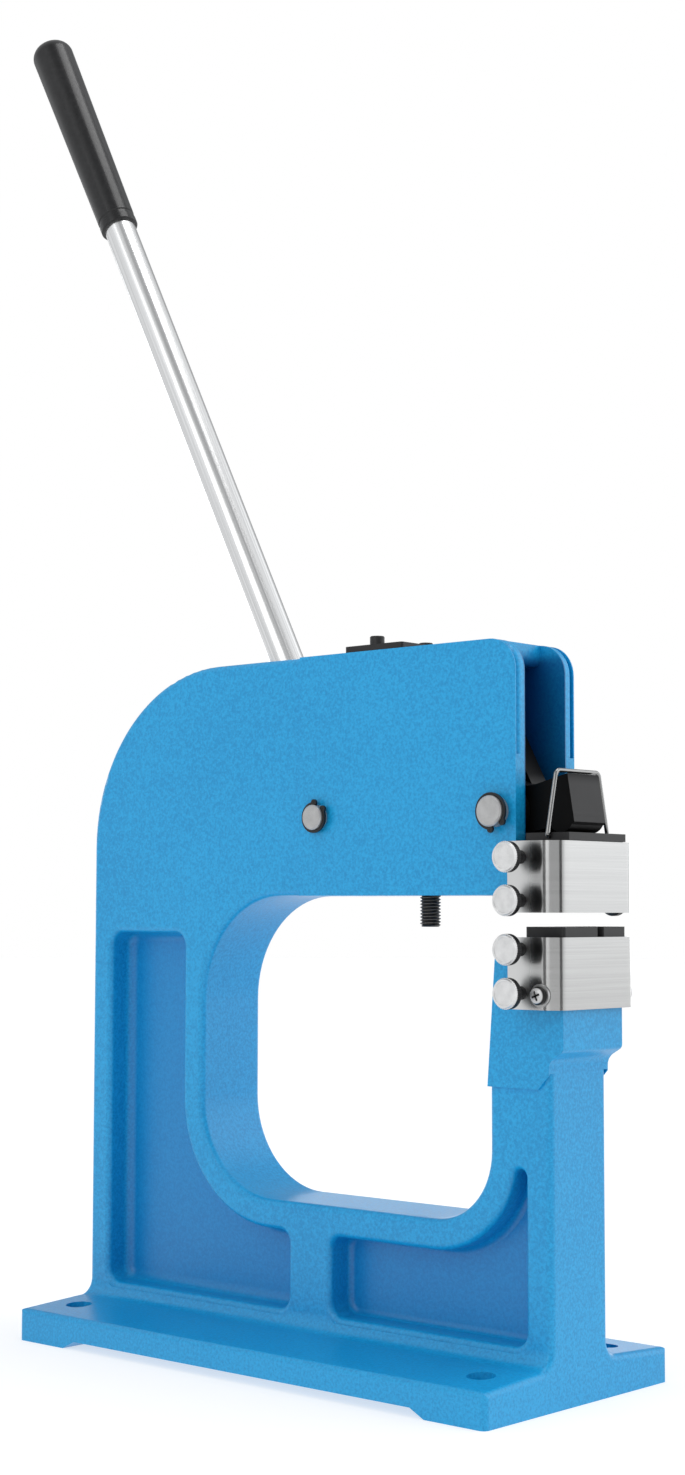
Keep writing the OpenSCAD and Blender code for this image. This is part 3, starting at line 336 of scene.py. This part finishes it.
for name in ("bridge_plate", "bridge_screws", "rear_rings", "front_rings", "upper_jaw_block",
             "upper_die_near", "upper_die_far", "lower_die_near", "lower_die_far", "upper_die_spring",
             "lower_die_spring"):
    wear(name, oxide.material)
for name in ("handle_hub", "hub_link_pin", "hub_pin_rings", "link_plates", "lever_link_pin", "lever_pin_rings",
             "rear_spacers", "front_spacers"):
    wear(name, shaded.material)
wear("wire_bail", wire.material)
wear("press_lever", lever.material)
wear("frame_casting", paint.material)
wear("handle_tube", tube.material)
wear("handle_grip", grip.material)
for name in ("upper_jaw_cover", "lower_jaw_cover"):
    wear(name, sheet.material)
for name, tone, metal in (("rear_pivot_pin", 0.74, 0.55), ("front_pivot_pin", 0.76, 0.55),
                          ("cover_screws", 0.95, 0.6), ("cover_washers", 0.86, 1.0), ("cover_spacers", 0.86, 1.0)):
    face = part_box(name)[1][1] if name == "cover_screws" else None
    wear(name, turned_steel("turned_" + name, [(centre[name][0], centre[name][2])], tone, metal, face))
print("finishes:", len(bpy.data.materials))

# %% [markdown]
# ## Modelling by hand, in code
# The operators act on what is selected in the piece that is active, as they do under the mouse. Two helpers keep
# that honest: one opens a piece for editing with nothing else selected, the other picks faces by where they lie
# and which way they look.

# %% Open a piece and pick its faces
mm = 0.001


def begin(piece):
    bpy.ops.object.select_all(action="DESELECT")
    piece.select_set(True)
    bpy.context.view_layer.objects.active = piece
    bpy.ops.object.mode_set(mode="EDIT")
    bpy.ops.mesh.select_mode(type="FACE")
    bpy.ops.mesh.select_all(action="SELECT")


def pick(piece, test):
    bpy.ops.mesh.select_all(action="DESELECT")
    shape = bmesh.from_edit_mesh(piece.data)
    for face in shape.faces:
        face.select_set(bool(test(face.calc_center_median(), face.normal)))
    bmesh.update_edit_mesh(piece.data)


def end(piece):
    bpy.ops.object.mode_set(mode="OBJECT")
    bpy.ops.object.transform_apply(location=True, rotation=True, scale=True)


def raise_face(step, size):
    bpy.ops.mesh.extrude_region_move(TRANSFORM_OT_translate={"value": (0, 0, step)})
    bpy.ops.transform.resize(value=(size, size, 1))


print("ready to model, one millimetre is", mm)

# %% [markdown]
# ## A thread
# A thread is one tooth carried round and up. Its outline needs a single point to start from: a plane is merged to
# its middle, moved out to the root, and extruded along root, flank, crest and flank. The Screw modifier winds that
# outline up by one pitch a turn. Both ends of the winding are ragged, so it is made too long and cut off square by
# two bisects that fill the cut. A bisect takes points that are nearer than its threshold for points on the plane, and
# the usual tenth of a millimetre is too coarse for a thread. It starts a little off the half pitch for the same
# reason: no point of the winding should lie in a cut.

# %% Threaded rod
def threaded_rod(name, diameter, pitch, low, high, steps):
    bpy.ops.object.select_all(action="DESELECT")
    bpy.ops.mesh.primitive_plane_add(size=1 * mm, location=(0, 0, 0))
    rod = bpy.context.object
    rod.name = rod.data.name = name
    begin(rod)
    bpy.ops.mesh.select_mode(type="VERT")
    bpy.ops.mesh.select_all(action="SELECT")
    bpy.ops.mesh.merge(type="CENTER")
    depth, lead = 0.6 * pitch, 1.513 * pitch
    bpy.ops.transform.translate(value=(diameter / 2 - depth, 0, low - lead))
    for out, up in ((0, 0.2), (depth, 0.34), (0, 0.12), (-depth, 0.34)):
        bpy.ops.mesh.extrude_vertices_move(TRANSFORM_OT_translate={"value": (out, 0, up * pitch)})
    bpy.ops.object.mode_set(mode="OBJECT")
    thread = rod.modifiers.new("thread", "SCREW")
    thread.axis = "Z"
    thread.screw_offset = pitch
    thread.iterations = math.ceil((high - low) / pitch) + 3
    thread.steps = thread.render_steps = steps
    bpy.ops.object.modifier_apply(modifier="thread")
    begin(rod)
    bpy.ops.mesh.remove_doubles(threshold=0.001 * mm)
    bpy.ops.mesh.normals_make_consistent(inside=False)
    for level, side in ((low, {"clear_inner": True}), (high, {"clear_outer": True})):
        bpy.ops.mesh.select_all(action="SELECT")
        bpy.ops.mesh.bisect(plane_co=(0, 0, level), plane_no=(0, 0, 1), use_fill=True,
                            threshold=0.0005 * mm, **side)
    bpy.ops.mesh.select_all(action="SELECT")
    bpy.ops.mesh.normals_make_consistent(inside=False)
    end(rod)
    return rod


# %% [markdown]
# ## The stop screw
# Under the arm a set screw of ten millimetres limits the stroke. It is a threaded rod with both ends turned to a
# cone and a hexagon socket below. A plain blank gets its bevels and its socket first, because a Boolean between
# simple shapes never goes wrong, and one last Boolean keeps what the thread and the blank have in common. It leaves
# slivers where a cone grazes the thread, so points that almost meet are merged afterwards. The crests of the thread
# are painted a brighter brown, a painted highlight for the glints they catch, and the distance from the axis tells
# crest from root.

# %% Stop screw
foot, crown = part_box("stop_screw")
axle_x, axle_y = (foot[0] + crown[0]) / 2, (foot[1] + crown[1]) / 2
tall = crown[2] - foot[2]


def boolean(piece, tool, operation):
    begin(piece)
    bpy.ops.object.mode_set(mode="OBJECT")
    cut = piece.modifiers.new("cut", "BOOLEAN")
    cut.operation = operation
    cut.solver = "EXACT"
    cut.object = tool
    bpy.ops.object.modifier_apply(modifier="cut")
    bpy.data.objects.remove(tool)


bpy.ops.object.select_all(action="DESELECT")
bpy.ops.mesh.primitive_cylinder_add(vertices=64, radius=5.1 * mm, depth=tall, location=(0, 0, tall / 2))
blank = bpy.context.object
begin(blank)
pick(blank, lambda middle, normal: normal.z > 0.9)
bpy.ops.mesh.bevel(offset=2.1 * mm, segments=1, affect="EDGES")
pick(blank, lambda middle, normal: normal.z < -0.9)
bpy.ops.mesh.bevel(offset=1.1 * mm, segments=1, affect="EDGES")
end(blank)
bpy.ops.object.select_all(action="DESELECT")
bpy.ops.mesh.primitive_cylinder_add(vertices=6, radius=2.85 * mm, depth=10 * mm, location=(0, 0, 0))
boolean(blank, bpy.context.object, "DIFFERENCE")
stop = threaded_rod("threaded_stop_screw", 9.94 * mm, 1.5 * mm, -1 * mm, tall + 1 * mm, 32)
boolean(stop, blank, "INTERSECT")
begin(stop)
bpy.ops.mesh.remove_doubles(threshold=0.01 * mm)
bpy.ops.mesh.dissolve_degenerate(threshold=0.005 * mm)
stop.location = (axle_x, axle_y, foot[2])
end(stop)
bpy.ops.object.shade_smooth_by_angle(angle=math.radians(32))

painted_glint = Finish("painted_glint_thread", Specular_IOR_Level=0.4)
wx, wy, _ = painted_glint.axes()
radius = ((wx - axle_x) ** 2 + (wy - axle_y) ** 2) ** 0.5
glint_noise = painted_glint.noise(700.0, 2.0, 0.5)
# Painted highlight: the crests of the thread are painted a brighter brown than the root.
crest = painted_glint.band(radius, 0.0044, 0.0049) * (0.6 + glint_noise * 0.4)
painted_glint.set(Base_Color=painted_glint.mix(crest, (0.004, 0.004, 0.005, 1), (0.17, 0.15, 0.13, 1)),
         Roughness=0.26 + glint_noise * 0.12)
stop.data.materials.append(painted_glint.material)
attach(stop, "frame")
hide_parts("stop_screw")
print("stop screw:", len(stop.data.polygons), "faces")

# %% [markdown]
# ## A knurled thumb screw
# Eight of these hold the dies. The head starts as a cylinder with one side for each groove. Every rim face is inset
# by itself and pushed out, which leaves a groove at each joint: a straight knurl in one stroke. The two ends are
# extruded and drawn in for the chamfers, and the outer end is inset and sunk a little, so that the rim catches the
# light. The end is turned bright and gets a slot of its own; the knurl and the shank, a threaded rod with a plain
# point, are black.

# %% One thumb screw, its tip at the origin and its head up
point, shank, head = 3.5 * mm, 17.3 * mm, 22.3 * mm
grooves = 42
bpy.ops.object.select_all(action="DESELECT")
bpy.ops.mesh.primitive_cylinder_add(vertices=grooves, radius=6.5 * mm, depth=3.2 * mm,
                                    location=(0, 0, head - 2.6 * mm))
knob = bpy.context.object
begin(knob)
pick(knob, lambda middle, normal: abs(normal.z) < 0.1)
bpy.ops.mesh.inset(thickness=0.16 * mm, depth=0.36 * mm, use_individual=True)
pick(knob, lambda middle, normal: normal.z > 0.9 and Vector(middle).xy.length < 1 * mm)
raise_face(1.0 * mm, 6.15 / 6.5)
bpy.ops.mesh.inset(thickness=0.8 * mm)
raise_face(-0.3 * mm, 0.96)
pick(knob, lambda middle, normal: normal.z < -0.9 and Vector(middle).xy.length < 1 * mm)
raise_face(-0.8 * mm, 5.6 / 6.5)
knob.data.materials.append(oxide.material)
knob.data.materials.append(oxide.material)
pick(knob, lambda middle, normal: middle.z > -1.0 * mm and normal.z > 0.3)
knob.active_material_index = 1
bpy.ops.object.material_slot_assign()
end(knob)
bpy.ops.object.shade_smooth_by_angle(angle=math.radians(25))

# %% Its shank and its point
rod = threaded_rod("thumb_shank", 5.94 * mm, 1.0 * mm, point, shank + 0.3 * mm, 20)
rod.data.materials.append(oxide.material)
bpy.ops.object.select_all(action="DESELECT")
bpy.ops.mesh.primitive_cylinder_add(vertices=28, radius=2 * mm, depth=point + 0.4 * mm,
                                    location=(0, 0, (point + 0.4 * mm) / 2))
tip = bpy.context.object
begin(tip)
pick(tip, lambda middle, normal: normal.z < -0.9)
bpy.ops.mesh.bevel(offset=0.4 * mm, segments=1, affect="EDGES")
end(tip)
tip.data.materials.append(oxide.material)
for part in (rod, tip):
    begin(part)
    bpy.ops.object.mode_set(mode="OBJECT")
    bpy.ops.object.shade_smooth_by_angle(angle=math.radians(32))
print("thumb screw head:", len(knob.data.polygons), "faces, shank:", len(rod.data.polygons))

# %% [markdown]
# ## Four to a cover
# Each cover has two on either side. A copy gets a mesh of its own, is turned so that its head looks out, and takes
# its place. The four are joined to one piece, since they stand for one node of the solids.

# %% Place the thumb screws
screw_x, tip_y = 140.3 * mm, 20.6 * mm
for node, body, heights in (("upper_thumb_screws", "upper_jaw", (220.5, 239.5)),
                            ("lower_thumb_screws", "frame", (199.2, 180.2))):
    finish = turned_steel("turned_" + node, [(screw_x, height * mm) for height in heights], 1.18)
    copies = []
    for side in (-1, 1):
        for height in heights:
            for part in (knob, rod, tip):
                copy = part.copy()
                copy.data = part.data.copy()
                bpy.context.scene.collection.objects.link(copy)
                if part is knob:
                    copy.data.materials[1] = finish
                copy.rotation_euler = (math.radians(-90 * side), 0, 0)
                copy.location = (screw_x, side * tip_y, height * mm)
                copies.append(copy)
    bpy.ops.object.select_all(action="DESELECT")
    for copy in copies:
        copy.select_set(True)
    bpy.context.view_layer.objects.active = copies[0]
    bpy.ops.object.join()
    screws = bpy.context.object
    screws.name = screws.data.name = "knurled_" + node
    bpy.ops.object.transform_apply(location=True, rotation=True, scale=True)
    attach(screws, body)
    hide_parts(node)
    print(screws.name, len(screws.data.polygons), "faces")
for part in (knob, rod, tip):
    bpy.data.objects.remove(part)

# %% [markdown]
# ## Floor and light
# The tool stands on a plain pale floor in a white studio. The floor is a large disc that glows a little, as if lit
# from below, so that it can't be told from the background and shadows stay faint. A bright thing in an evenly white
# room has no shape, so two black cards stand beside the tool, where only reflections see them: they draw the dark
# bands on the bends of the covers. The light is the studio itself, white all round, brighter to the front right and
# low behind the tool, and dimmer where the tube and the grip mirror it.

# %% Floor
bpy.ops.object.select_all(action="DESELECT")
bpy.ops.mesh.primitive_circle_add(vertices=96, radius=9.0, fill_type="NGON", location=(0, 0, 0))
floor = bpy.context.object
floor.name = "floor"
ground = Finish("pale_floor", Specular_IOR_Level=0.05)
pale = ground.noise(3.0, 3.0, 0.5)
ground.set(Base_Color=ground.mix(pale, (0.46, 0.46, 0.46, 1), (0.49, 0.49, 0.49, 1)),
           Roughness=0.85 + pale * 0.1, Emission_Color=(1, 1, 1, 1), Emission_Strength=0.6)
floor.data.materials.append(ground.material)
print("floor radius 9 m")

# %% Black cards
matt = Finish("black_card", Specular_IOR_Level=0.0)
grain = matt.noise(40.0, 2.0, 0.5)
matt.set(Base_Color=matt.mix(grain, (0.004, 0.004, 0.004, 1), (0.008, 0.008, 0.008, 1)), Roughness=0.9)
jaws_x, card_away, card_high = 0.165, 1.5, 0.42
for name, degrees, width in (("near card", -104, 0.46), ("front card", -11, 0.42)):
    angle = math.radians(degrees)
    place = (jaws_x + card_away * math.cos(angle), card_away * math.sin(angle), card_high / 2 + 0.01)
    bpy.ops.object.select_all(action="DESELECT")
    bpy.ops.mesh.primitive_plane_add(size=1.0, rotation=(math.pi / 2, 0, angle + math.pi / 2), location=place)
    card = bpy.context.object
    card.scale = (width, card_high, 1)
    bpy.ops.object.transform_apply(location=True, rotation=True, scale=True)
    card.name = name
    card.data.materials.append(matt.material)
    card.visible_camera = card.visible_diffuse = card.visible_shadow = False
    print(name, [round(v, 3) for v in card.dimensions])

# %% The white studio
world = bpy.data.worlds.new("studio")
bpy.context.scene.world = world
world.use_nodes = True
sky = Board(world.node_tree, "Generated")
sx, sy, sz = sky.axes()
bearing = sx.sum("ARCTAN2", sy, sx)


def patch(middle, half, fade, top, soft=0.3):
    away = abs(bearing - math.radians(middle))
    beside = sky.band(away, math.radians(half), math.radians(half + fade))
    return (1 - beside) * (1 - sky.band(sz, top, top + soft))


front_right = 0.9 * patch(48, 24, 25, 0.5)
low_behind = 2.2 * patch(132, 30, 15, 0.13, 0.05) - 0.45 * patch(132, 34, 20, 0.6)
glow = 0.88 + front_right + low_behind - 0.1 * patch(-132, 14, 12, 0.12) - 0.36 * patch(-42, 28, 20, 0.86, 0.1)
lit = sky.node("ShaderNodeBackground", {}, {"Color": (0.97, 0.985, 1, 1), "Strength": glow})
seen = sky.node("ShaderNodeBackground", {}, {"Color": (1, 1, 1, 1), "Strength": 1.0})
straight = sky.node("ShaderNodeLightPath", out="Is Camera Ray")
both = sky.node("ShaderNodeMixShader", {}, {0: straight, 1: lit, 2: seen})
sky.fill(world.node_tree.nodes.new("ShaderNodeOutputWorld"), {"Surface": both})
bpy.context.scene.view_settings.view_transform = "Standard"
print("studio:", len(world.node_tree.nodes), "nodes")

# %% [markdown]
# ## Two lamps
# A studio that is white all round gives no direction. A soft panel on the near side fills the face that looks at the
# camera, and a long narrow one overhead draws the one clear streak that a glossy round grip needs.

# %% Fill panel and strip
def panel(name, place, size, power):
    light = bpy.data.lights.new(name, "AREA")
    light.shape = "RECTANGLE"
    light.size, light.size_y = size
    light.energy = power
    lamp = bpy.data.objects.new(name, light)
    bpy.context.scene.collection.objects.link(lamp)
    lamp.location = place
    lamp.rotation_euler = (Vector((0, 0, 0.3)) - lamp.location).to_track_quat("-Z", "X").to_euler()
    print(name, power, "W")


panel("fill panel", (0.1, -2.3, 1.2), (1.8, 1.4), 9)
panel("strip", (0.65, 0.2, 2.45), (0.45, 1.3), 9)
